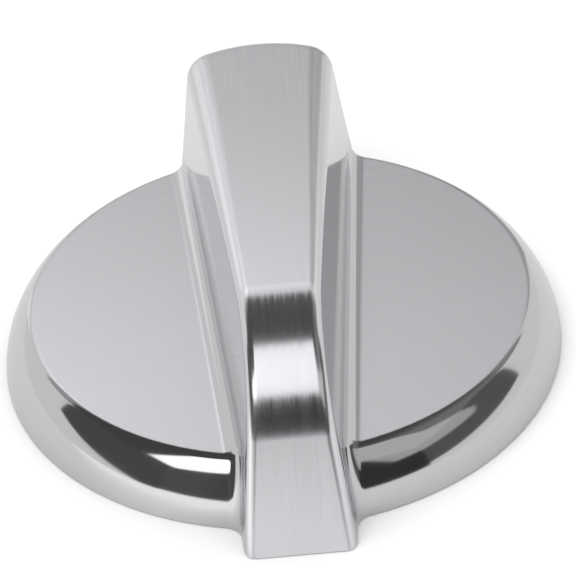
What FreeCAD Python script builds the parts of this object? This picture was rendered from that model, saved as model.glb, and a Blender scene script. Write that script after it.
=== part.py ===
"""Oven control knob: a hollow die-cast body with a finger bar, a pressed-in stem insert and a spring clip.

Frame: millimetres, +Z along the turning axis out of the panel, origin on that axis in the plane of the rim.
The finger bar lies along Y, with its pointer tip at -Y.
"""
import FreeCAD, Part
import os

import Sketcher

V = FreeCAD.Vector

# Driving dimensions: millimetres and degrees, as the cells of the sheet hold them.
DIMENSIONS = {
    # Disc
    "skirt_radius": 28.0,
    "disc_height": 6.2,
    "flank_draft": 2.5,
    "shoulder_radius": 8.5,
    "shoulder_edge": 1.1,
    # Finger bar, its outline given in the plane of the rim
    "bar_height": 18.5,
    "bar_half": 7.82,
    "bar_lean": 5.1,
    "bar_side_arc": 6000.0,
    "bar_draft": 8.2,
    "far_arc": 16.0,
    "far_corner_y": 25.145,
    "far_corner_radius": 5.4,
    "bar_tip": 31.64,
    "front_slope": 68.0,
    "bend_radius": 13.2,
    "top_edge_radius": 1.7,
    "foot_radius": 1.8,
    "cut_margin": 5.0,
    # Hollow back
    "wall": 1.5,
    "boss_radius": 6.4,
    "boss_rear": 2.4,
    "rib_thickness": 1.2,
    "rib_rear": 2.6,
    # Stem insert, for a 6.35 mm stem with a flat
    "insert_radius": 4.5,
    "insert_top": 12.4,
    "flange_radius": 5.9,
    "flange_rear": 1.2,
    "socket_radius": 3.2,
    "socket_flat": 1.85,
    "socket_top": 11.2,
    "slot_back": 2.75,
    "slot_width": 4.0,
    # Spring clip
    "clip_width": 3.8,
    "clip_thickness": 0.4,
    "clip_bow_radius": 20.0,
    "clip_apex": 1.8,
    "clip_low": 2.0,
    "clip_high": 11.0,
    "clip_lip": 1.5,
    "clip_bend": 0.35,
}
RIB_ANGLES = (35.0, 145.0, 215.0, 325.0)
# What counts as the same place, in millimetres, and the least upward slope of a face of the grip.
NEAR = 0.001
GRIP_RISE = 0.3

doc = FreeCAD.newDocument("oven_control_knob")
sheet = doc.addObject("Spreadsheet::Sheet", "dims")


def fill_sheet():
    """One row for each driving dimension: its name, then its value under an alias."""
    for row, (name, value) in enumerate(DIMENSIONS.items(), start=1):
        sheet.set(f"A{row}", name)
        sheet.set(f"B{row}", str(value))
        sheet.setAlias(f"B{row}", name)
    doc.recompute()


def value_of(expression):
    """The number that an expression over the sheet's cells stands for."""
    return float(sheet.evalExpression(expression))


def new_body(label):
    body = doc.addObject("PartDesign::Body", label)
    body.Label = label
    return body


def origin_plane(body, role):
    return next(item for item in body.Origin.OriginFeatures if item.Role == role)


def new_sketch(body, role, name):
    """A sketch on one of the body's own origin planes."""
    sketch = body.newObject("Sketcher::SketchObject", name)
    sketch.AttachmentSupport = [(origin_plane(body, role), "")]
    sketch.MapMode = "FlatFace"
    return sketch


def pin(sketch, geometry, end, kind, expression):
    """Hold one end of a line or arc at a distance from the sketch's origin, bound to the sheet."""
    index = sketch.addConstraint(
        Sketcher.Constraint(kind, -1, 1, geometry, end, value_of(expression)))
    sketch.setExpression(f"Constraints[{index}]", expression)


def outline(sketch, corners, arcs=()):
    """A closed outline through corners, each a pair of expressions.

    arcs maps the number of a side to its radius, which is negative where the side bows to the left
    of its direction.
    """
    arcs = dict(arcs)
    points = [V(value_of(x), value_of(y), 0) for x, y in corners]
    count = len(points)
    for side in range(count):
        start, end = points[side], points[(side + 1) % count]
        if side not in arcs:
            sketch.addGeometry(Part.LineSegment(start, end))
            continue
        chord = end - start
        radius = value_of(arcs[side])
        right = V(chord.y, -chord.x, 0).normalize()
        rise = abs(radius) - (radius ** 2 - chord.Length ** 2 / 4) ** 0.5
        middle = (start + end) * 0.5 + right * (rise if radius > 0 else -rise)
        sketch.addGeometry(Part.Arc(start, middle, end))
    for side, (x, y) in enumerate(corners):
        start_end = first_end(sketch, side, points[side])
        previous = (side - 1) % count
        sketch.addConstraint(Sketcher.Constraint(
            "Coincident", side, start_end, previous, first_end(sketch, previous, points[side])))
        pin(sketch, side, start_end, "DistanceX", x)
        pin(sketch, side, start_end, "DistanceY", y)
    for side, radius in arcs.items():
        index = sketch.addConstraint(Sketcher.Constraint("Radius", side, abs(value_of(radius))))
        sketch.setExpression(f"Constraints[{index}]", f"abs({radius})")
    doc.recompute()


def first_end(sketch, side, point):
    """Which end of a side, 1 or 2, lies at a point: an arc keeps its ends in turning order."""
    return 1 if (sketch.getPoint(side, 1) - point).Length < NEAR else 2


def feature(body, kind, name, **expressions):
    """A feature of a body, with its sizes bound to the sheet."""
    made = body.newObject(f"PartDesign::{kind}", name)
    for size, expression in expressions.items():
        made.setExpression(size, expression)
    return made


def revolve(body, sketch, name):
    turned = feature(body, "Revolution", name)
    turned.Profile = sketch
    turned.ReferenceAxis = (sketch, ["V_Axis"])
    turned.Angle = 360.0
    doc.recompute()
    return turned


def round_edges(body, base, name, radius, chosen):
    """A fillet on the edges of a feature's shape that a test picks out."""
    made = feature(body, "Fillet", name, Radius=radius)
    made.Base = (base, names_of("Edge", base.Shape.Edges, chosen))
    doc.recompute()
    return made


def middle_of(edge):
    return edge.valueAt((edge.FirstParameter + edge.LastParameter) / 2)


def names_of(kind, items, chosen):
    """The names, such as Edge3, of the items that a test picks out."""
    return [f"{kind}{number}" for number, item in enumerate(items, start=1) if chosen(item)]


def normal_of(face):
    """The outward direction at the middle of a face."""
    low_u, high_u, low_v, high_v = face.ParameterRange
    return face.normalAt((low_u + high_u) / 2, (low_v + high_v) / 2)


def disc_form(body, inset, round_shoulder=True):
    """The skirted disc, or its hollow where inset is the wall: a profile turned about the axis.

    One large arc rises from the drafted rim. A small arc rounds the edge between it and the flat top. Inside,
    a straight bevel takes the place of both.
    """
    height = f"(dims.disc_height - {inset})"
    foot = f"(dims.skirt_radius - {inset})"
    arc = f"(dims.shoulder_radius - {inset})"
    edge = "dims.shoulder_edge"
    centre_r = "(dims.skirt_radius - dims.shoulder_radius * cos(dims.flank_draft))"
    centre_z = "(-dims.shoulder_radius * sin(dims.flank_draft))"
    sketch = new_sketch(body, "YZ_Plane", "disc_profile")
    if round_shoulder:
        rise = f"({height} - {edge} - {centre_z})"
        reach = f"({arc} - {edge})"
        run = f"sqrt({reach} ^ 2 - {rise} ^ 2)"
        corners = (
            (foot, "0"),
            (f"{centre_r} + {arc} * {run} / {reach}", f"{centre_z} + {arc} * {rise} / {reach}"),
            (f"{centre_r} + {run}", height),
        )
        arcs = {1: arc, 2: edge}
    else:
        run = f"sqrt({arc} ^ 2 - ({height} - {centre_z}) ^ 2)"
        corners = (
            (foot, "0"),
            (f"{centre_r} + {run}", height),
        )
        arcs = {}
    outline(sketch, (("0", "0"), *corners, ("0", height)), arcs)
    return revolve(body, sketch, "disc")


def bar_side(inset):
    """Centre and radius of the large arc that the right side of the bar's plan follows, bowed inwards."""
    x = "(dims.bar_half + dims.bar_side_arc * cos(dims.bar_lean))"
    y = "(-dims.bar_side_arc * sin(dims.bar_lean))"
    return x, y, f"(dims.bar_side_arc + {inset})"


def far_corner(inset):
    """Two points on the right of the bar's plan: where the far corner meets the side, and the far end.

    The corner's arc touches the side's arc from outside, and the end's arc from inside.
    """
    side_x, side_y, side = bar_side(inset)
    corner = "dims.far_corner_radius"
    arc = f"(dims.far_arc - {inset})"
    y = f"(dims.far_corner_y - {inset})"
    x = f"({side_x} - sqrt(({side} + {corner}) ^ 2 - ({y} - {side_y}) ^ 2))"
    middle = f"({y} - sqrt(({arc} - {corner}) ^ 2 - {x} ^ 2))"
    on_side = f"({side} / ({side} + {corner}))"
    on_end = f"({arc} / ({arc} - {corner}))"
    meets_side = (f"({side_x} + ({x} - {side_x}) * {on_side})", f"{side_y} + ({y} - {side_y}) * {on_side}")
    meets_end = (f"({x} * {on_end})", f"{middle} + ({y} - {middle}) * {on_end}")
    return meets_side, meets_end


def bar_form(body, inset):
    """The finger bar, or its hollow: a drafted block whose near end is cut back to the sloping front."""
    sketch = new_sketch(body, "XY_Plane", "bar_plan")
    side_x, side_y, side = bar_side(inset)
    beyond = "(-dims.bar_tip - dims.cut_margin)"
    near_end = (f"({side_x} - sqrt({side} ^ 2 - ({beyond} - {side_y}) ^ 2))", beyond)
    right = (near_end, *far_corner(inset))
    left = [(f"-{x}", y) for x, y in reversed(right)]
    arcs = {
        1: f"-{side}", 2: "dims.far_corner_radius", 3: f"dims.far_arc - {inset}", 4: "dims.far_corner_radius",
        5: f"-{side}",
    }
    outline(sketch, (left[-1], *right, *left[:-1]), arcs)
    block = feature(body, "Pad", "bar_block", Length=f"dims.bar_height - {inset}")
    block.Profile = sketch
    doc.recompute()
    walls = feature(body, "Draft", "bar_walls", Angle="dims.bar_draft")
    walls.Base = (block, names_of("Face", block.Shape.Faces, lambda face: abs(normal_of(face).z) < NEAR))
    walls.NeutralPlane = (origin_plane(body, "XY_Plane"), [""])
    doc.recompute()
    cut_front(body, inset)
    top = value_of(f"dims.bar_height - {inset}")
    return round_edges(body, body.Tip, "bend", f"dims.bend_radius - {inset}",
                       lambda edge: edge.BoundBox.ZMin > top - NEAR and edge.BoundBox.YLength < NEAR)


def cut_front(body, inset):
    """Take away all that lies in front of the sloping plane through the pointer tip."""
    sketch = new_sketch(body, "YZ_Plane", "front_profile")
    foot = f"-dims.bar_tip + {inset} / sin(dims.front_slope)"
    above = "dims.bar_height + dims.cut_margin"
    beyond = "-dims.bar_tip - 2 * dims.cut_margin"
    corners = (
        (foot, "0"),
        (f"{foot} + ({above}) / tan(dims.front_slope)", above),
        (beyond, above),
        (beyond, "0"),
    )
    outline(sketch, corners)
    made = feature(body, "Pocket", "front_cut", Length="4 * dims.bar_half")
    made.Profile = sketch
    made.Midplane = True
    doc.recompute()
    return made


def soften_grip(body, base):
    """Round the long edge that runs round the bar's top and down both sides of its front."""
    grip = [face for face in base.Shape.Faces if normal_of(face).z > GRIP_RISE]
    edges = [edge for face in grip for edge in face.Edges]
    border = [edge for edge in edges if sum(edge.isSame(other) for other in edges) == 1]
    return round_edges(
        body, base, "top_edge", "dims.top_edge_radius",
        lambda edge: edge.BoundBox.ZMax > NEAR and any(edge.isSame(other) for other in border))


def soften_foot(body, base, bar):
    """Round the line where the bar's walls meet the disc, its shoulder and its flank."""
    def meets(edge):
        point = middle_of(edge)
        vertex = Part.Vertex(point)
        on_bar = vertex.distToShape(bar.Shape)[0] < NEAR
        own_edge = min(vertex.distToShape(old)[0] for old in bar.Shape.Edges) < NEAR
        return on_bar and not own_edge and point.z > NEAR
    return round_edges(body, base, "foot", "dims.foot_radius", meets)


def column(name, radius, low, high):
    """An upright cylinder on the turning axis between two heights."""
    made = doc.addObject("Part::Cylinder", name)
    made.setExpression("Radius", radius)
    made.setExpression("Height", f"{high} - {low}")
    made.setExpression("Placement.Base.z", low)
    return made


def rib(number, angle):
    """A thin upright web from the axis out to the skirt."""
    made = doc.addObject("Part::Box", f"rib_{number}")
    made.setExpression("Length", "dims.skirt_radius - dims.wall")
    made.setExpression("Width", "dims.rib_thickness")
    made.setExpression("Height", "dims.disc_height - dims.rib_rear")
    turn = FreeCAD.Rotation(V(0, 0, 1), angle)
    shift = turn.multVec(V(0, -value_of("dims.rib_thickness") / 2, value_of("dims.rib_rear")))
    made.Placement = FreeCAD.Placement(shift, turn)
    return made


def cut(name, base, tool):
    made = doc.addObject("Part::Cut", name)
    made.Base = base
    made.Tool = tool
    return made


def knob_body():
    """The casting: the outer form less the hollow, which stops at the boss and the ribs."""
    outer = new_body("outer_form")
    bar = soften_grip(outer, bar_form(outer, "0"))
    soften_foot(outer, disc_form(outer, "0"), bar)
    core = new_body("core_form")
    bar_form(core, "dims.wall")
    disc_form(core, "dims.wall", round_shoulder=False)
    inner = doc.addObject("Part::MultiFuse", "boss_and_ribs")
    inner.Shapes = [column("boss", "dims.boss_radius", "dims.boss_rear", "dims.bar_height")]
    inner.Shapes += [rib(number, angle) for number, angle in enumerate(RIB_ANGLES, start=1)]
    hollow = cut("hollow", core, inner)
    shell = cut("shell", outer, hollow)
    bore = column("boss_bore", "dims.insert_radius", "dims.flange_rear", "dims.insert_top")
    return cut("knob_body", shell, bore)


def sink(body, name, corners, top, arcs=()):
    """A pocket from the rim plane up to a height."""
    sketch = new_sketch(body, "XY_Plane", f"{name}_outline")
    outline(sketch, corners, arcs)
    made = feature(body, "Pocket", name, Length=top)
    made.Profile = sketch
    made.Reversed = True
    doc.recompute()
    return made


def stem_insert():
    """A turned bush with a flange, a blind D-shaped socket, and a slot and recess for the clip."""
    body = new_body("stem_insert")
    sketch = new_sketch(body, "YZ_Plane", "bush_profile")
    outline(sketch, (
        ("0", "dims.flange_rear"),
        ("dims.flange_radius", "dims.flange_rear"),
        ("dims.flange_radius", "dims.boss_rear"),
        ("dims.insert_radius", "dims.boss_rear"),
        ("dims.insert_radius", "dims.insert_top"),
        ("0", "dims.insert_top"),
    ))
    revolve(body, sketch, "bush")
    half_chord = "sqrt(dims.socket_radius ^ 2 - dims.socket_flat ^ 2)"
    sink(body, "socket", (
        (half_chord, "dims.socket_flat"),
        (f"-{half_chord}", "dims.socket_flat"),
        ("0", "-dims.socket_radius"),
    ), "dims.socket_top", {1: "dims.socket_radius", 2: "dims.socket_radius"})
    sink(body, "clip_slot", slot_corners("dims.slot_back"), "dims.socket_top")
    sink(body, "lip_recess", slot_corners("dims.slot_back + dims.clip_lip"), "dims.clip_low")
    return body


def slot_corners(back):
    """A rectangle from the axis out to the back of the clip's slot."""
    half = "dims.slot_width / 2"
    return ((half, "0"), (half, back), (f"-{half}", back), (f"-{half}", "0"))


def spring_clip():
    """A leaf bowed towards the flat of the stem, with a lip bent outwards at its lower end."""
    body = new_body("spring_clip")
    sketch = new_sketch(body, "YZ_Plane", "clip_profile")
    half = "((dims.clip_high - dims.clip_low) / 2)"
    centre = "dims.clip_apex + dims.clip_bow_radius"
    back_radius = "(dims.clip_bow_radius - dims.clip_thickness)"
    front = f"{centre} - sqrt(dims.clip_bow_radius ^ 2 - {half} ^ 2)"
    back = f"{centre} - sqrt({back_radius} ^ 2 - {half} ^ 2)"
    lip_end = "dims.slot_back + dims.clip_lip"
    under = "dims.clip_low - dims.clip_thickness"
    outline(sketch, (
        (front, under),
        (lip_end, under),
        (lip_end, "dims.clip_low"),
        (back, "dims.clip_low"),
        (back, "dims.clip_high"),
        (front, "dims.clip_high"),
        (front, "dims.clip_low"),
    ), {3: f"-{back_radius}", 5: "dims.clip_bow_radius"})
    leaf = feature(body, "Pad", "leaf", Length="dims.clip_width")
    leaf.Profile = sketch
    leaf.Midplane = True
    doc.recompute()
    corner = V(0, value_of(front), value_of(under))
    round_edges(body, leaf, "bend_outside", "dims.clip_bend",
                lambda edge: (middle_of(edge) - corner).Length < NEAR)
    return body


def check(item):
    """Stop if an object failed to build."""
    failed = {"Invalid", "Error"} & set(item.State)
    if failed:
        raise RuntimeError(f"{item.Label} did not build: {failed}")


def export(piece):
    """Write one piece to its own file, once its solid is known to be sound."""
    shape = piece.Shape
    if shape.isNull() or not shape.isValid() or len(shape.Solids) != 1:
        raise RuntimeError(f"{piece.Label} is not one sound solid")
    shape.exportStep(f"parts/{piece.Label}.step")
    print(piece.Label, round(shape.Volume, 1), "mm3")


fill_sheet()
pieces = [knob_body(), stem_insert(), spring_clip()]
doc.recompute()
for item in doc.Objects:
    check(item)
os.makedirs("parts", exist_ok=True)
for piece in pieces:
    export(piece)
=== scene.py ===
"""Looks of an oven control knob: the satin plated casting as a smooth surface, its finishes and a studio.

Lengths of the knob are in millimetres, as its drawing gives them, and turn to metres when a mesh is made.
"""
import math

import bmesh
import bpy
import numpy as np
from mathutils import Matrix, Vector

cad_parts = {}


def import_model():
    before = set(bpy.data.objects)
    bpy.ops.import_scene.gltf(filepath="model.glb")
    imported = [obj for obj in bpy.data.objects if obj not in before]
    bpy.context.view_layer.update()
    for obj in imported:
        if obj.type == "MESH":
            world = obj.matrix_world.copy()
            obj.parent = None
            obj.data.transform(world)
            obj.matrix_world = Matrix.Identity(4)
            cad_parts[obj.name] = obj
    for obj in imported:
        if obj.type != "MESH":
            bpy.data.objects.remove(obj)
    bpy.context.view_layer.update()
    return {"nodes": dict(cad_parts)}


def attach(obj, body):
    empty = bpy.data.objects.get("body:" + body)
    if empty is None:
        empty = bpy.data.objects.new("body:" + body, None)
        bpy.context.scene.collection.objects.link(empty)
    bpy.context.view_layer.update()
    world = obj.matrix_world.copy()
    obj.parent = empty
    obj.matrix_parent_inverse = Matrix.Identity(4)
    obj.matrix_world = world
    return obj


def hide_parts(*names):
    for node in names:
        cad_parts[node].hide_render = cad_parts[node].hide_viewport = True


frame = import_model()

MM = 0.001

# Disc: radius at the rim, height, draft at the rim, radius of the shoulder and of the flat top's edge.
SKIRT_RADIUS = 28.0
DISC_HEIGHT = 6.2
FLANK_DRAFT = math.radians(2.5)
SHOULDER_RADIUS = 8.5
SHOULDER_EDGE = 1.1

# Finger bar: its plan in the plane of the rim, its draft, the line of its top, and the radius of its top
# edge, which opens from the near value to the far one between two places along the bar.
BAR_HEIGHT = 18.5
BAR_HALF = 7.82
BAR_LEAN = math.radians(5.1)
BAR_SIDE_ARC = 6000.0
BAR_DRAFT = math.radians(8.2)
FAR_ARC = 16.0
FAR_CORNER_Y = 25.145
FAR_CORNER_RADIUS = 5.4
BAR_TIP = 31.64
FRONT_SLOPE = math.radians(68.0)
BEND_RADIUS = 13.2
TOP_EDGE_NEAR = 1.1
TOP_EDGE_FAR = 2.6
TOP_EDGE_STARTS = -22.0
TOP_EDGE_ENDS = 29.0
FOOT_RADIUS = 1.8

# Hollow back: wall, radii of the core's edges, rounding of the rim, boss and ribs.
WALL = 1.5
CORE_EDGE = 0.5
RIM_EDGE = 0.22
BOSS_RADIUS = 6.4
BOSS_REAR = 2.4
BOSS_BORE = 4.5
BORE_TOP = 12.4
BOSS_TOP_EDGE = 0.1
RIB_THICKNESS = 1.2
RIB_REAR = 2.6
RIB_ANGLES = (35.0, 145.0, 215.0, 325.0)
RIB_EDGE = 0.2
RIB_START = 5.6
RIB_END = 25.6
BOSS_COLUMNS = 96
BOSS_ROWS = 40
RIB_ROWS = 48

# How far the brushed streaks tilt the surface, as a slope.
BAR_TILT = 0.009
DISC_TILT = 0.008

# Grid of the casting: rays in plan over half the knob, and rows along each ray.
FAN_RAYS = 62
SIDE_RAYS = 112
OUTER_ROWS = 118
INNER_ROWS = 54
RIM_ROWS = 4
FAR_HUB = 18.0
NEAR_HUB = -20.0
FAN_ANGLE = math.radians(60.0)

# How rows are shared out on a ray: fine steps to measure it by, and what a radian of turning and the start
# of a rounding count for beside its length.
FINE_STEPS = 2000
OUTER_TURN_WEIGHT = 9.0
INNER_TURN_WEIGHT = 3.0
EDGE_COST = 3.0
SHARPEST_CHANGE = 0.7
HALVINGS = 32

# Closeness in millimetres: on the form, step for its slope, points that merge, and the shortest edge kept.
ON_FORM = 0.002
SLOPE_STEP = 0.001
MERGE_WITHIN = 1e-4
SHORTEST_EDGE = 1e-5

# Where the brushing fades out: below the bar's top line, and off the disc's flat, in millimetres.
BAR_BRUSH_STARTS = -0.7
BAR_BRUSH_FULL = -0.02
DISC_BRUSH_FULL = 0.005
DISC_BRUSH_ENDS = 0.04


def rounded_meet(first, second, cosine, radius):
    """Where two solids meet, with the edge rounded to a circle.

    first and second are distances outside two faces, and cosine is that of the angle between their normals.
    In the sector that both faces leave open the distance is taken from the circle that touches them both,
    and elsewhere it is the larger of the two.
    """
    a = first + radius
    b = second + radius
    sine_squared = np.maximum(1.0 - cosine ** 2, 1e-9)
    in_sector = (a > b * cosine) & (b > a * cosine)
    squared = np.maximum(a * a + b * b - 2.0 * a * b * cosine, 0.0) / sine_squared
    return np.where(in_sector, np.sqrt(squared) - radius, np.maximum(first, second))


def smooth_step(value, low, high):
    """0 below low, 1 above high, and an even S between."""
    share = np.clip((value - low) / (high - low), 0.0, 1.0)
    return share * share * (3.0 - 2.0 * share)


def turned_arc(across, up, radius, end_angle):
    """Distance outside an arc that goes on as its two tangents.

    across and up are measured from the arc's centre. The arc starts facing up and turns by end_angle.
    Also gives the normal there: its part across and its part up.
    """
    angle = np.clip(np.arctan2(across, up), 0.0, end_angle)
    normal_across = np.sin(angle)
    normal_up = np.cos(angle)
    return across * normal_across + up * normal_up - radius, normal_across, normal_up


def disc_distance(x, y, z, inset):
    """The turned disc, and its outward direction.

    Outside: a flat top, a small arc round its edge and a large arc down to the drafted rim, each point
    belonging to the one whose sector it lies in. The hollow has a flat roof and a straight bevel between the
    same heights.
    """
    radius = np.maximum(np.hypot(x, y), 1e-9)
    height = DISC_HEIGHT - inset
    arc = SHOULDER_RADIUS - inset
    centre_r = SKIRT_RADIUS - SHOULDER_RADIUS * math.cos(FLANK_DRAFT)
    centre_z = -SHOULDER_RADIUS * math.sin(FLANK_DRAFT)
    if inset:
        foot = SKIRT_RADIUS - inset
        run = foot - centre_r - math.sqrt(arc ** 2 - (height - centre_z) ** 2)
        outwards = height / math.hypot(run, height)
        upwards = run / math.hypot(run, height)
        bevel = (radius - foot) * outwards + z * upwards
        distance = rounded_meet(z - height, bevel, upwards, CORE_EDGE)
        flat = z - height > bevel
        outwards = np.where(flat, 0.0, outwards)
        return distance, (outwards * x / radius, outwards * y / radius, np.where(flat, 1.0, upwards))
    rise = height - SHOULDER_EDGE - centre_z
    run = math.sqrt((arc - SHOULDER_EDGE) ** 2 - rise ** 2)
    edge, edge_out, edge_up = turned_arc(
        radius - centre_r - run, z - height + SHOULDER_EDGE, SHOULDER_EDGE, math.atan2(run, rise))
    large, large_out, large_up = turned_arc(radius - centre_r, z - centre_z, arc, math.pi / 2 - FLANK_DRAFT)
    on_large = (radius - centre_r - run) * rise > (z - height + SHOULDER_EDGE) * run
    outwards = np.where(on_large, large_out, edge_out)
    upwards = np.where(on_large, large_up, edge_up)
    return np.where(on_large, large, edge), (outwards * x / radius, outwards * y / radius, upwards)


def bar_top_distance(y, z, inset):
    """The line of the bar's top: level, then bent down to the straight front."""
    height = BAR_HEIGHT - inset
    bend = BEND_RADIUS - inset
    tip = BAR_TIP - inset / math.sin(FRONT_SLOPE)
    centre = -tip + (bend + (height - bend) * math.cos(FRONT_SLOPE)) / math.sin(FRONT_SLOPE)
    return turned_arc(centre - y, z - height + bend, bend, FRONT_SLOPE)


def bar_plan_distance(x, y, inset):
    """Distance outside the bar's plan at the rim, and its outward direction.

    On each half a long side runs out to the near end. At the far end a corner arc touches it and the end's
    arc. Each point belongs to the arc whose sector it lies in.
    """
    half = np.abs(x)
    side = np.array([BAR_HALF + BAR_SIDE_ARC * math.cos(BAR_LEAN), -BAR_SIDE_ARC * math.sin(BAR_LEAN)])
    side_radius = BAR_SIDE_ARC + inset
    end_radius = FAR_ARC - inset
    corner_y = FAR_CORNER_Y - inset
    corner_x = side[0] - math.sqrt((side_radius + FAR_CORNER_RADIUS) ** 2 - (corner_y - side[1]) ** 2)
    end_y = corner_y - math.sqrt((end_radius - FAR_CORNER_RADIUS) ** 2 - corner_x ** 2)
    to_side = np.stack([side[0] - half, side[1] - y])
    from_corner = np.stack([half - corner_x, y - corner_y])
    from_end = np.stack([half, y - end_y])
    past_side = (side[0] - corner_x) * from_corner[1] > (side[1] - corner_y) * from_corner[0]
    past_corner = (corner_x * from_end[1] > (corner_y - end_y) * from_end[0]) & (from_end[1] > 0)
    reach = np.hypot(*to_side)
    distance = side_radius - reach
    normal = to_side / reach
    for mask, offset, radius in (
        (past_side & ~past_corner, from_corner, FAR_CORNER_RADIUS),
        (past_corner, from_end, end_radius),
    ):
        length = np.maximum(np.hypot(*offset), 1e-9)
        distance = np.where(mask, length - radius, distance)
        normal = np.where(mask, offset / length, normal)
    return distance, normal[0] * np.sign(x + 1e-12), normal[1]


def top_edge_radius(y):
    """Radius of the bar's top edge: small on the front and the bend, opening smoothly towards the far end."""
    share = smooth_step(y, TOP_EDGE_STARTS, TOP_EDGE_ENDS)
    return TOP_EDGE_NEAR + (TOP_EDGE_FAR - TOP_EDGE_NEAR) * share


def knob_distance(x, y, z, inset=0.0, edge=None, foot=FOOT_RADIUS):
    """Distance outside the knob's form.

    The bar's top and its drafted walls are rounded together, then blended into the disc.
    """
    top, forward, top_up = bar_top_distance(y, z, inset)
    plan, wall_x, wall_y = bar_plan_distance(x, y, inset)
    cosine = math.cos(BAR_DRAFT)
    sine = math.sin(BAR_DRAFT)
    wall = plan * cosine + z * sine
    rounding = top_edge_radius(y) if edge is None else edge
    bar = rounded_meet(top, wall, sine * top_up - cosine * wall_y * forward, rounding)
    disc, normal = disc_distance(x, y, z, inset)
    blend = cosine * (wall_x * normal[0] + wall_y * normal[1]) + sine * normal[2]
    return -rounded_meet(-bar, -disc, blend, foot)


def outward_directions(points):
    """Unit directions in which the knob's distance grows fastest, from differences along each axis."""
    step = SLOPE_STEP * np.eye(3)
    slope = [knob_distance(*(points + move).T) - knob_distance(*(points - move).T) for move in step]
    slope = np.stack(slope, axis=1)
    return slope / np.linalg.norm(slope, axis=1)[:, None]


def halve(value_at, low, high):
    """The place between low and high where a growing function passes zero, by halving the gap."""
    for _ in range(HALVINGS):
        middle = (low + high) / 2
        outside = value_at(middle) > 0
        low = np.where(outside, low, middle)
        high = np.where(outside, middle, high)
    return (low + high) / 2


def plan_rays():
    """Hub and direction of each ray over the right half: a fan at each end, and a sweep between them."""
    fan = np.linspace(0.0, FAN_ANGLE, FAN_RAYS, endpoint=False)
    sweep = np.linspace(0.0, 1.0, SIDE_RAYS, endpoint=False)
    near_fan = np.linspace(math.pi - FAN_ANGLE, math.pi, FAN_RAYS + 1)
    hub = np.concatenate([
        np.full(FAN_RAYS, FAR_HUB), FAR_HUB + (NEAR_HUB - FAR_HUB) * sweep, np.full(FAN_RAYS + 1, NEAR_HUB)])
    angle = np.concatenate([fan, FAN_ANGLE + (math.pi - 2 * FAN_ANGLE) * sweep, near_fan])
    return hub[:, None], np.sin(angle)[:, None], np.cos(angle)[:, None]


def even_steps(distance, points, count, turn_weight):
    """Distances along each ray that share out its length and its turning evenly over count rows.

    Each start or end of a rounding counts as a further length, EDGE_COST times the change of curvature there,
    so that a row falls on it. A change over SHARPEST_CHANGE is a crease, and only its turning counts.
    """
    step = np.diff(points, axis=1)
    length = np.linalg.norm(step, axis=2)
    unit = step / np.maximum(length, 1e-12)[..., None]
    turn = np.arccos(np.clip((unit[:, 1:] * unit[:, :-1]).sum(axis=2), -1.0, 1.0))
    change = np.abs(np.diff(turn / np.maximum(length[:, 1:], 1e-12), axis=1))
    cost = length
    cost[:, 1:] += turn_weight * turn
    cost[:, 2:] += EDGE_COST * np.where(change < SHARPEST_CHANGE, change, 0.0)
    total = np.concatenate([np.zeros((len(cost), 1)), np.cumsum(cost, axis=1)], axis=1)
    total /= total[:, -1:]
    lift = 2.0 * np.arange(len(total))[:, None]
    wanted = np.linspace(0.0, 1.0, count)[None, :] + lift
    return np.interp(wanted.ravel(), (total + lift).ravel(), distance.ravel()).reshape(wanted.shape)


def skin(rays, rows, bottom, top, turn_weight, **form):
    """A grid of points on the knob's form, along plan rays from the bar's middle out to the level bottom.

    The height over each plan point is where the distance passes zero.
    """
    hub, right, far = rays

    def place(distance):
        """Plan position at a distance along each ray."""
        return distance * right, hub + distance * far

    def rise(distance):
        """Points on the form over those positions."""
        x, y = place(distance)
        z = halve(lambda z: knob_distance(x, y, z, **form), np.full(x.shape, bottom), np.full(x.shape, top))
        return np.stack([x, y, z], axis=2)

    reach = halve(lambda d: knob_distance(*place(d), np.full(d.shape, bottom), **form),
                  np.zeros(hub.shape), np.full(hub.shape, 2 * SKIRT_RADIUS))
    fine = reach * np.linspace(0.0, 1.0, FINE_STEPS)[None, :]
    return rise(even_steps(fine, rise(fine), rows, turn_weight))


def rim_turn(edge, outward, start):
    """Rows of a quarter round between an upright side and the rim plane, seen from the side's foot."""
    turn = np.linspace(0.0, math.pi / 2, RIM_ROWS + 1)[1:]
    inwards = RIM_EDGE * (1.0 - np.cos(turn)) * start
    across = outward[:, None, :] * inwards[None, :, None]
    down = np.broadcast_to(-RIM_EDGE * np.sin(turn), (len(edge), RIM_ROWS))
    shift = np.concatenate([across, down[..., None]], axis=2)
    return edge[:, None, :] + shift


def plan_normals(edge):
    """Outward plan direction along an outline, at right angles to the line through its neighbours."""
    ahead = np.concatenate([edge[1:], edge[-2:-1] * [-1, 1, 1]])
    behind = np.concatenate([edge[1:2] * [-1, 1, 1], edge[:-1]])
    along = (ahead - behind)[:, :2]
    across = np.stack([-along[:, 1], along[:, 0]], axis=1)
    return across / np.linalg.norm(across, axis=1)[:, None]


def casting_grid():
    """The casting's skin as one grid: the outer form, the rounded rim, then the hollow back to its roof."""
    rays = plan_rays()
    outer = skin(rays, OUTER_ROWS, RIM_EDGE, BAR_HEIGHT + 1, OUTER_TURN_WEIGHT)
    inner = skin(rays, INNER_ROWS, RIM_EDGE, BAR_HEIGHT, INNER_TURN_WEIGHT,
                 inset=WALL, edge=CORE_EDGE, foot=CORE_EDGE)
    outer_rim = rim_turn(outer[:, -1], plan_normals(outer[:, -1]), -1.0)
    inner_rim = rim_turn(inner[:, -1], plan_normals(inner[:, -1]), 1.0)
    return np.concatenate([outer, outer_rim, inner_rim[:, ::-1], inner[:, ::-1]], axis=1)


def grid_faces(columns, rows):
    """Quads of a grid whose points are numbered column by column."""
    first = (np.arange(columns - 1)[:, None] * rows + np.arange(rows - 1)[None, :]).ravel()
    return np.stack([first, first + rows, first + rows + 1, first + 1], axis=1)


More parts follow.
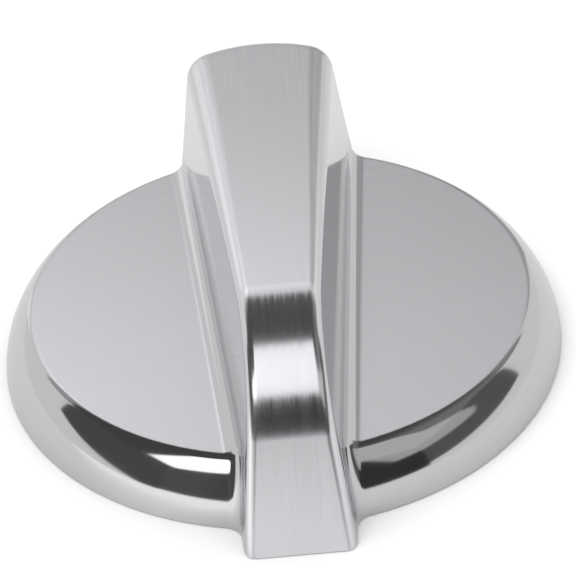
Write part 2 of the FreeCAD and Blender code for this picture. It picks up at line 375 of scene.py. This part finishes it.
def mesh_object(name, parts, finishes, shares):
    """A mesh of welded grids, given in millimetres, with one finish number for each part's faces.

    Each part is a grid of columns by rows by three. shares gives the brushed share of every point and its
    share on the bar. Points that fall together are merged, and faces are turned outwards.
    """
    mesh = bpy.data.meshes.new(name)
    points = []
    faces = []
    finish = []
    start = 0
    for grid, numbers in parts:
        columns, rows = grid.shape[:2]
        points.append(grid.reshape(-1, 3))
        quads = grid_faces(columns, rows) + start
        faces.append(quads)
        finish.append(np.broadcast_to(numbers, (columns - 1, rows - 1)).ravel())
        start += columns * rows
    mesh.from_pydata(np.concatenate(points) * MM, [], np.concatenate(faces))
    mesh.polygons.foreach_set("material_index", np.concatenate(finish).astype(np.int32))
    for material in finishes:
        mesh.materials.append(material)
    for title, values in zip(("brushed", "on_bar"), shares(np.concatenate(points))):
        mesh.attributes.new(title, "FLOAT", "POINT").data.foreach_set("value", values.astype(np.float32))
    shape = bmesh.new()
    shape.from_mesh(mesh)
    bmesh.ops.remove_doubles(shape, verts=shape.verts, dist=MERGE_WITHIN * MM)
    bmesh.ops.dissolve_degenerate(shape, edges=shape.edges, dist=SHORTEST_EDGE * MM)
    bmesh.ops.recalc_face_normals(shape, faces=shape.faces)
    shape.to_mesh(mesh)
    shape.free()
    mesh.shade_smooth()
    made = bpy.data.objects.new(name, mesh)
    bpy.context.scene.collection.objects.link(made)
    return made


def set_outer_normals(mesh):
    """Give the points on the knob's outside the exact direction of its form, so mirrored lines run clean."""
    points = np.empty(3 * len(mesh.vertices))
    directions = np.empty(3 * len(mesh.vertices))
    mesh.vertices.foreach_get("co", points)
    mesh.vertices.foreach_get("normal", directions)
    points = points.reshape(-1, 3) / MM
    on_form = np.abs(knob_distance(*points.T)) < ON_FORM
    outside = on_form & (points[:, 2] > RIM_EDGE - ON_FORM)
    exact = np.where(outside[:, None], outward_directions(points), directions.reshape(-1, 3))
    mesh.normals_split_custom_set_from_vertices(exact)


def closed_ring(half):
    """A half grid over the right side, joined to its mirror image on the left."""
    mirrored = half[::-1] * [-1.0, 1.0, 1.0]
    return np.concatenate([half, mirrored[1:]])


# Colours, and the one function that adds a node

def linear(hex_colour):
    """An sRGB hex colour as the linear values that a shader takes."""
    values = np.array([int(hex_colour[i:i + 2], 16) for i in (1, 3, 5)]) / 255
    low = values / 12.92
    high = ((values + 0.055) / 1.055) ** 2.4
    return (*np.where(values <= 0.04045, low, high), 1.0)


def node(tree, kind, inputs=None, **settings):
    """A node with its settings, and its inputs given as values or as sockets to link."""
    made = tree.nodes.new(kind)
    for name, value in settings.items():
        setattr(made, name, value)
    for name, value in (inputs or {}).items():
        socket = made.inputs[name]
        if isinstance(value, bpy.types.NodeSocket):
            tree.links.new(value, socket)
        else:
            socket.default_value = value
    return made


def new_material(name):
    """A material with an empty node tree of its own."""
    material = bpy.data.materials.new(name)
    material.use_nodes = True
    tree = material.node_tree
    tree.nodes.clear()
    return material, tree


def finish_with(tree, shader):
    """Lead a shader to the material's output."""
    node(tree, "ShaderNodeOutputMaterial", {"Surface": shader.outputs[0]})


def millimetres(tree):
    """Object coordinates, counted in millimetres."""
    place = node(tree, "ShaderNodeTexCoord").outputs["Object"]
    return node(tree, "ShaderNodeVectorMath", {0: place, "Scale": 1.0 / MM}, operation="SCALE")


def noise(tree, vector, per_mm, detail=3.0, roughness=0.55):
    """Noise over a place in millimetres, with its own number of grains per millimetre along each axis."""
    stretched = node(tree, "ShaderNodeVectorMath", {0: vector.outputs[0], 1: per_mm}, operation="MULTIPLY")
    made = node(tree, "ShaderNodeTexNoise", {
        "Vector": stretched.outputs[0], "Scale": 1.0, "Detail": detail, "Roughness": roughness})
    return made.outputs[0]


def spread(tree, value, low, high, from_low=0.3, from_high=0.7):
    """A value spread over a new range and held inside it."""
    made = node(tree, "ShaderNodeMapRange", {
        "Value": value, "From Min": from_low, "From Max": from_high, "To Min": low, "To Max": high})
    return made.outputs[0]


def blend(tree, share, first, second):
    """A number that goes from the first to the second as the share grows."""
    return node(tree, "ShaderNodeMix", {0: share, 2: first, 3: second}).outputs[0]


def tint(tree, share, first, second):
    """A colour that goes from the first to the second as the share grows, each a hex colour or a socket."""
    ends = [linear(end) if isinstance(end, str) else end for end in (first, second)]
    return node(tree, "ShaderNodeMix", {0: share, 6: ends[0], 7: ends[1]}, data_type="RGBA").outputs[2]


def satin_plated_zinc():
    """Zinc die casting, belt polished, plated, then brushed on the disc's top and along the bar.

    The brushed flats blur what they mirror and break its edges into fine streaks. The shoulder and the walls
    keep the polish, so they mirror the studio in clear bands.
    """
    material, tree = new_material("satin_plated_zinc")
    place = millimetres(tree)
    brushed = node(tree, "ShaderNodeAttribute", attribute_name="brushed").outputs["Fac"]
    on_bar = node(tree, "ShaderNodeAttribute", attribute_name="on_bar").outputs["Fac"]
    along_bar = noise(tree, place, (4.5, 0.10, 0.10))
    across_disc = noise(tree, place, (0.05, 5.0, 0.05))
    streak = blend(tree, on_bar, across_disc, along_bar)
    cloud = noise(tree, place, (0.14, 0.14, 0.14), detail=2.0)
    satin = blend(tree, on_bar, spread(tree, streak, 0.21, 0.27), spread(tree, streak, 0.16, 0.23))
    polish = spread(tree, cloud, 0.07, 0.11)
    share = spread(tree, streak, 0.0, 1.0)
    # Painted light: one plating in three tones, so each part renders lighter or darker. The bar's brushed top
    # is lightest, the disc's brushed flat lies between, and the polished shoulder and walls are darkest. The
    # streaks also vary each tone a little at random.
    disc_tint = tint(tree, share, "#d7d6d9", "#dfdee1")
    bar_lightened_tint = tint(tree, share, "#e5e4e7", "#ecebee")
    colour = tint(tree, brushed, "#ccccce", tint(tree, on_bar, disc_tint, bar_lightened_tint))
    disc_tilt = spread(tree, streak, -DISC_TILT, DISC_TILT)
    bar_tilt = spread(tree, streak, -BAR_TILT, BAR_TILT)
    tilt = blend(tree, on_bar, disc_tilt, bar_tilt)
    tilt_here = node(tree, "ShaderNodeMath", {0: tilt, 1: brushed}, operation="MULTIPLY").outputs[0]
    lean = node(tree, "ShaderNodeCombineXYZ", {"Y": tilt_here}).outputs[0]
    normal = node(tree, "ShaderNodeNewGeometry").outputs["Normal"]
    leant = node(tree, "ShaderNodeVectorMath", {0: normal, 1: lean}, operation="ADD").outputs[0]
    streaked = node(tree, "ShaderNodeVectorMath", {0: leant}, operation="NORMALIZE").outputs[0]
    shader = node(tree, "ShaderNodeBsdfPrincipled", {
        "Base Color": colour, "Metallic": 1.0, "Roughness": blend(tree, brushed, polish, satin),
        "Normal": streaked})
    finish_with(tree, shader)
    return material


def cast_zinc_inside():
    """The same casting's unpolished back: thin plating over the grain of the die, dull and uneven."""
    material, tree = new_material("cast_zinc_inside")
    place = millimetres(tree)
    grain = noise(tree, place, (3.0, 3.0, 3.0))
    flow = noise(tree, place, (0.25, 0.12, 0.2), detail=2.0)
    colour = tint(tree, spread(tree, flow, 0.0, 1.0), "#8e9093", "#a5a6a9")
    bump = node(tree, "ShaderNodeBump", {"Strength": 0.35, "Distance": 0.05 * MM, "Height": grain})
    shader = node(tree, "ShaderNodeBsdfPrincipled", {
        "Base Color": colour, "Metallic": 1.0, "Roughness": spread(tree, grain, 0.42, 0.58),
        "Normal": bump.outputs[0]})
    finish_with(tree, shader)
    return material


def moulded_black_nylon():
    """Black nylon as it leaves the mould: a soft sheen with fine sparks from the eroded steel."""
    material, tree = new_material("moulded_black_nylon")
    place = millimetres(tree)
    spark = noise(tree, place, (6.0, 6.0, 6.0))
    flow = noise(tree, place, (0.3, 0.3, 0.15), detail=2.0)
    colour = tint(tree, spread(tree, flow, 0.0, 1.0), "#1d1e20", "#292a2c")
    bump = node(tree, "ShaderNodeBump", {"Strength": 0.3, "Distance": 0.03 * MM, "Height": spark})
    shader = node(tree, "ShaderNodeBsdfPrincipled", {
        "Base Color": colour, "Roughness": spread(tree, flow, 0.38, 0.5), "Normal": bump.outputs[0]})
    finish_with(tree, shader)
    return material


def rolled_spring_steel():
    """Cold rolled and hardened strip: a dark, slightly blue metal with fine rolling lines along the leaf."""
    material, tree = new_material("rolled_spring_steel")
    place = millimetres(tree)
    line = noise(tree, place, (9.0, 0.4, 0.4))
    colour = tint(tree, spread(tree, line, 0.0, 1.0), "#7c7f84", "#94969a")
    shader = node(tree, "ShaderNodeBsdfPrincipled", {
        "Base Color": colour, "Metallic": 1.0, "Roughness": spread(tree, line, 0.24, 0.36)})
    finish_with(tree, shader)
    return material


# Pieces

def brushed_share(points):
    """How far each point was brushed: fully on the bar's top and on the disc's flat, not past their edges.

    Also gives the share of it that belongs to the bar.
    """
    x, y, z = points.T
    on_bar = smooth_step(bar_top_distance(y, z, 0.0)[0], BAR_BRUSH_STARTS, BAR_BRUSH_FULL)
    off_level = np.abs(z - DISC_HEIGHT)
    off_disc = np.abs(disc_distance(x, y, z, 0.0)[0])
    on_disc = 1.0 - smooth_step(np.maximum(off_level, off_disc), DISC_BRUSH_FULL, DISC_BRUSH_ENDS)
    return np.maximum(on_bar, on_disc), on_bar


def boss():
    """The stem boss: a turned profile from its roof inside the bar, down the outside and up the bore.

    Its outside keeps the boss radius, but above the disc's roof it stops at the middle of the bar's wall.
    """
    angle = np.linspace(0.0, 2 * math.pi, BOSS_COLUMNS + 1)[:, None]
    roof = BAR_HEIGHT - WALL / 2
    outside = np.linspace(roof, BOSS_REAR, BOSS_ROWS)[None, :]
    across = np.cos(angle)
    along_bar = np.sin(angle)
    reach = halve(lambda r: knob_distance(r * across, r * along_bar, outside, edge=BOSS_TOP_EDGE) + WALL / 2,
                  np.zeros((len(angle), BOSS_ROWS)), np.full((len(angle), BOSS_ROWS), BOSS_RADIUS))
    radius = np.concatenate([np.zeros_like(angle), reach, np.full((len(angle), 2), BOSS_BORE),
                             np.zeros_like(angle)], axis=1)
    height = np.concatenate([[roof], outside[0], [BOSS_REAR, BORE_TOP, BORE_TOP]])
    return np.stack([radius * across, radius * along_bar, np.broadcast_to(height, radius.shape)], axis=2)


def rib(degrees):
    """A web from the boss out to the skirt: a rounded rectangle, carried along a spoke and closed."""
    turn = np.linspace(0.0, 2 * math.pi, RIB_ROWS + 1)
    half = RIB_THICKNESS / 2
    top = DISC_HEIGHT - WALL / 2
    middle = (top + RIB_REAR) / 2
    lift = (top - RIB_REAR) / 2
    across = (half - RIB_EDGE) * np.sign(np.round(np.cos(turn), 6)) + RIB_EDGE * np.cos(turn)
    up = (lift - RIB_EDGE) * np.sign(np.round(np.sin(turn), 6)) + RIB_EDGE * np.sin(turn)
    share = np.array([0.0, 1.0, 1.0, 0.0])[:, None]
    out = np.array([RIB_START, RIB_START, RIB_END, RIB_END])[:, None] + 0.0 * turn
    spoke = math.radians(degrees)
    x = out * math.cos(spoke) - share * across * math.sin(spoke)
    y = out * math.sin(spoke) + share * across * math.cos(spoke)
    return np.stack([x, y, middle + share * up], axis=2)


def knob_casting():
    """The die casting: its skin of outside, rim and hollow back, brushed on its flats, with boss and ribs."""
    grid = closed_ring(casting_grid())
    behind = np.arange(grid.shape[1] - 1) >= OUTER_ROWS + RIM_ROWS
    parts = [(grid, behind[None, :]), (boss(), 1)] + [(rib(degrees), 1) for degrees in RIB_ANGLES]
    made = mesh_object("knob_casting", parts, [satin_plated_zinc(), cast_zinc_inside()], brushed_share)
    set_outer_normals(made.data)
    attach(made, "root")
    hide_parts("knob_body")


def refinish(name, material):
    """Give a node of the frame its own finish in place of the plain one."""
    slots = frame["nodes"][name].data.materials
    slots.clear()
    slots.append(material)


# Studio: a room of cards, in metres, with the places of its walls and how far some cards stand before them

FAR_WALL = 0.9
NEAR_WALL = -1.0
SIDE_WALL = 1.2
CEILING = 0.8
BEFORE = 0.005
NEAR_LIGHT = -0.97


def camera():
    """The camera of the photograph: 220 mm from the rim's centre, 38 degrees up, and rolled a little."""
    distance = 220.0 * MM
    elevation = math.radians(38.19)
    roll = math.radians(4.98)
    focal_pixels = 2172.0
    frame_pixels = 576
    centre_seen = Vector((-5.05, -51.0)) / focal_pixels
    sensor = 36.0
    toward = Vector((0.0, math.cos(elevation), -math.sin(elevation)))
    level = Vector((1.0, 0.0, 0.0))
    upright = level.cross(toward)
    right = level * math.cos(roll) - upright * math.sin(roll)
    up = level * math.sin(roll) + upright * math.cos(roll)
    aim = (toward - right * centre_seen.x - up * centre_seen.y).normalized()
    right = (right - aim * right.dot(aim)).normalized()
    up = right.cross(aim)
    data = bpy.data.cameras.new("photo_camera")
    data.sensor_width = sensor
    data.lens = sensor * focal_pixels / frame_pixels
    data.clip_start = 0.01
    made = bpy.data.objects.new("photo_camera", data)
    turn = Matrix((right, up, -aim)).transposed()
    made.matrix_world = Matrix.Translation(-toward * distance) @ turn.to_4x4()
    bpy.context.scene.collection.objects.link(made)
    bpy.context.scene.camera = made


def card(name, corners, strength):
    """A flat card of the studio that only mirrors see, so it lights nothing and casts no shadow.

    strength is a number, or a function that makes one in the card's node tree.
    """
    mesh = bpy.data.meshes.new(name)
    mesh.from_pydata(corners, [], [tuple(range(len(corners)))])
    material, tree = new_material(name)
    value = strength(tree) if callable(strength) else strength
    shader = node(tree, "ShaderNodeEmission", {"Color": linear("#fefeff"), "Strength": value})
    finish_with(tree, shader)
    mesh.materials.append(material)
    made = bpy.data.objects.new(name, mesh)
    made.visible_camera = False
    made.visible_diffuse = False
    made.visible_transmission = False
    made.visible_volume_scatter = False
    made.visible_shadow = False
    bpy.context.scene.collection.objects.link(made)


def facing(y, outline):
    """Corners of an upright card across the view, from its outline in x and z."""
    return [(x, y, z) for x, z in outline]


def sideways(x, outline):
    """Corners of an upright card beside the view, from its outline in y and z."""
    return [(x, y, z) for y, z in outline]


def overhead(z, outline):
    """Corners of a level card over the knob, from its outline in x and y."""
    return [(x, y, z) for x, y in outline]


def along(axis, *limits):
    """A strength that changes evenly along one axis of the room: two values, and the places they hold at."""
    def strength(tree):
        """The nodes of this strength in a card's or the floor's tree."""
        place = node(tree, "ShaderNodeSeparateXYZ", {0: node(tree, "ShaderNodeTexCoord").outputs["Object"]})
        return spread(tree, place.outputs[axis], *limits)
    return strength


def far_grey(tree):
    """The far wall's strength: an even grey that grows towards its top and falls from left to right."""
    rise = along("Z", 0.56, 1.24, 0.58, 0.84)(tree)
    left_to_right = along("X", 1.20, 0.62, -0.28, 0.28)(tree)
    return node(tree, "ShaderNodeMath", {0: rise, 1: left_to_right}, operation="MULTIPLY").outputs[0]


def cards():
    """What the metal mirrors: a grey far wall, a dark near side and a white strip in the ceiling."""
    card("far_wall", facing(FAR_WALL, [(-0.30, 0.0), (0.30, 0.0), (0.30, 0.84), (-0.30, 0.84)]), far_grey)
    card("far_top", facing(FAR_WALL, [(-0.54, 0.84), (0.60, 0.84), (0.60, 1.15), (-0.54, 1.15)]),
         along("X", 1.35, 0.80, -0.25, 0.0))
    card("far_left", facing(FAR_WALL, [(-0.54, 0.0), (-0.30, 0.0), (-0.30, 0.84), (-0.54, 0.84)]), 0.84)
    card("far_right", facing(FAR_WALL, [(0.30, 0.0), (0.60, 0.0), (0.60, 0.84), (0.30, 0.84)]), 0.47)
    card("far_left_white", facing(FAR_WALL, [(-0.72, 0.0), (-0.54, 0.0), (-0.54, 0.5), (-0.72, 0.5)]), 1.1)
    card("far_right_white", facing(FAR_WALL, [(0.61, 0.0), (0.70, 0.0), (0.70, 0.4), (0.61, 0.4)]), 0.85)
    card("ceiling", overhead(CEILING, [
        (-1.2, -1.0), (1.2, -1.0), (1.2, 0.26), (0.06, 0.62), (-0.06, 0.62), (-1.2, 0.32)]),
        along("X", 0.075, 0.22, 0.2, 0.7))
    card("ceiling_left", overhead(CEILING, [(-1.2, 0.32), (-0.06, 0.62), (-0.06, 0.64), (-1.2, 0.80)]), 0.42)
    card("ceiling_right", overhead(CEILING, [(1.2, 0.26), (1.2, 0.80), (0.06, 0.64), (0.06, 0.62)]), 0.32)
    card("strip_light", overhead(CEILING - BEFORE, [
        (-0.12, -0.14), (-0.28, -0.46), (-1.05, -0.55), (-1.05, -0.92), (-0.6, -1.0), (0.3, -1.0),
        (0.3, -0.46), (0.12, -0.14)]), along("X", 1.7, 0.98, -0.35, 0.10))
    card("right_strip", overhead(CEILING - BEFORE, [
        (0.3, -1.0), (1.2, -1.0), (1.2, -0.30), (0.85, -0.50), (0.3, -0.46)]), 0.6)
    card("near_dark", facing(NEAR_WALL, [(-1.2, 0.03), (1.2, 0.03), (1.2, 0.8), (-1.2, 0.8)]),
         along("X", 0.105, 0.042, -0.7, -0.05))
    card("near_right_grey", facing(NEAR_WALL + BEFORE, [
        (0.55, 0.8), (0.8, 0.52), (1.2, 0.62), (1.2, 0.8)]), 0.5)
    card("near_light", facing(NEAR_LIGHT, [(-0.3, 0.0), (0.3, 0.0), (0.3, 0.10), (-0.3, 0.10)]), 0.8)
    card("left_dark", sideways(-SIDE_WALL, [
        (-1.0, 0.0), (-0.76, 0.0), (0.24, 0.33), (0.33, 0.8), (-1.0, 0.8)]), 0.09)
    card("right_dark", sideways(SIDE_WALL, [(-1.0, 0.10), (0.22, 0.17), (0.27, 0.8), (-1.0, 0.8)]), 0.12)
    card("right_grey", sideways(SIDE_WALL - BEFORE, [
        (-1.0, 0.60), (-0.26, 0.49), (-0.2, 0.6), (-0.3, 0.8), (-1.0, 0.8)]), 0.5)


def floor():
    """A plain white floor that keeps the knob's soft shadow.

    The metal mirrors it as a light grey, and as white on its near left. That white is a painted reflection:
    the floor beyond the knob's near left turns white only in mirrors, so the knob's lower left flank mirrors
    white and not the floor's shaded grey.
    """
    half = 2.0
    corners = [(-half, -half, 0), (half, -half, 0), (half, half, 0), (-half, half, 0)]
    mesh = bpy.data.meshes.new("floor")
    mesh.from_pydata(corners, [], [(0, 1, 2, 3)])
    material, tree = new_material("matt_white_paper")
    mirrored = node(tree, "ShaderNodeLightPath").outputs["Is Glossy Ray"]
    # Painted reflection: a white patch of floor towards the near left that only mirrors see.
    nearer = along("Y", 1.0, 0.0, -0.036, -0.020)(tree)
    painted_white_patch = blend(tree, along("X", 0.0, 1.0, -0.014, -0.006)(tree), nearer, 0.0)
    colour = tint(tree, mirrored, "#f6f6f6", tint(tree, painted_white_patch, "#dfdedf", "#ffffff"))
    shader = node(tree, "ShaderNodeBsdfPrincipled", {
        "Base Color": colour, "Roughness": 0.9, "Specular IOR Level": 0.0})
    finish_with(tree, shader)
    mesh.materials.append(material)
    made = bpy.data.objects.new("floor", mesh)
    bpy.context.scene.collection.objects.link(made)


def lamp(name, place, size, power):
    """A soft square lamp that looks at the knob and isn't mirrored in it."""
    data = bpy.data.lights.new(name, "AREA")
    data.size = size
    data.energy = power
    made = bpy.data.objects.new(name, data)
    made.location = place
    made.rotation_euler = (-Vector(place)).to_track_quat("-Z", "Y").to_euler()
    made.visible_glossy = False
    bpy.context.scene.collection.objects.link(made)


def world():
    """White all round, and a light grey where the metal mirrors it."""
    made = bpy.data.worlds.new("studio")
    bpy.context.scene.world = made
    made.use_nodes = True
    tree = made.node_tree
    tree.nodes.clear()
    mirrored = node(tree, "ShaderNodeLightPath").outputs["Is Glossy Ray"]
    shader = node(tree, "ShaderNodeBackground", {
        "Color": linear("#ffffff"), "Strength": blend(tree, mirrored, 1.0, 0.84)})
    node(tree, "ShaderNodeOutputWorld", {"Surface": shader.outputs[0]})


knob_casting()
refinish("stem_insert", moulded_black_nylon())
refinish("spring_clip", rolled_spring_steel())
camera()
world()
cards()
floor()
lamp("overhead_softbox", (-0.3, -0.2, 0.9), 0.8, 3.0)
bpy.context.scene.view_settings.view_transform = "Standard"
